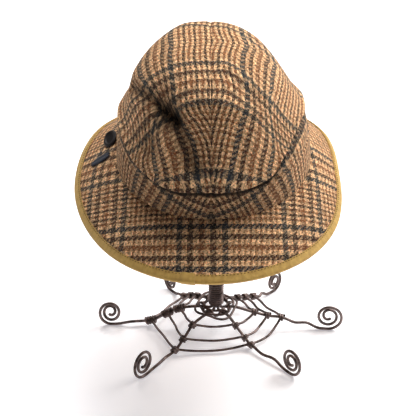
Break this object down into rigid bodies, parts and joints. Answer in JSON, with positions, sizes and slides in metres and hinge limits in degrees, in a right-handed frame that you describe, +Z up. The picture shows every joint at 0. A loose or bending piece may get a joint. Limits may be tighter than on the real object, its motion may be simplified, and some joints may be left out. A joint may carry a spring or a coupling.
{
  "type": "deerstalker hat on a wire hat stand",
  "caption": "Round-crowned wool hat with a centre seam, a cloth band and a drooping brim bound with tape, resting on the post of a web-shaped wire stand with scrolled feet.",
  "frame": {"origin": "the middle of the part's box in x and y, at the level of the feet", "axes": "+Z up, the hat's front towards -Y, the wearer's left towards +X"},
  "size_m": [0.2594, 0.2872, 0.322],
  "materials": {
    "crown_left": "woolly tweed in a brown, camel and navy glen check",
    "crown_right": "woolly tweed in a brown, camel and navy glen check",
    "hat_band": "woolly tweed in a brown, camel and navy glen check",
    "brim": "woolly tweed in a brown, camel and navy glen check",
    "brim_binding": "mustard ribbed tape",
    "side_button": "black, soft gloss",
    "buttonhole": "navy thread",
    "leg_right": "dark bronze brown, soft gloss",
    "leg_back_right": "dark bronze brown, soft gloss",
    "leg_back_left": "dark bronze brown, soft gloss",
    "leg_left": "dark bronze brown, soft gloss",
    "leg_front_left": "dark bronze brown, soft gloss",
    "leg_front_right": "dark bronze brown, soft gloss",
    "web_ring_outer": "dark bronze brown, soft gloss",
    "web_ring_middle": "dark bronze brown, soft gloss",
    "web_ring_upper": "dark bronze brown, soft gloss",
    "web_ring_inner": "dark bronze brown, soft gloss",
    "post_coil": "dark bronze brown, soft gloss",
    "post": "dark bronze brown, soft gloss"
  },
  "bodies": {
    "root": {"crown_left": "crown_left", "crown_right": "crown_right", "hat_band": "hat_band", "brim": "brim", "brim_binding": "brim_binding", "side_button": "side_button", "buttonhole": "buttonhole", "leg_right": "leg_right", "leg_back_right": "leg_back_right", "leg_back_left": "leg_back_left", "leg_left": "leg_left", "leg_front_left": "leg_front_left", "leg_front_right": "leg_front_right", "web_ring_outer": "web_ring_outer", "web_ring_middle": "web_ring_middle", "web_ring_upper": "web_ring_upper", "web_ring_inner": "web_ring_inner", "post_coil": "post_coil", "post": "post"}
  },
  "joints": []
}
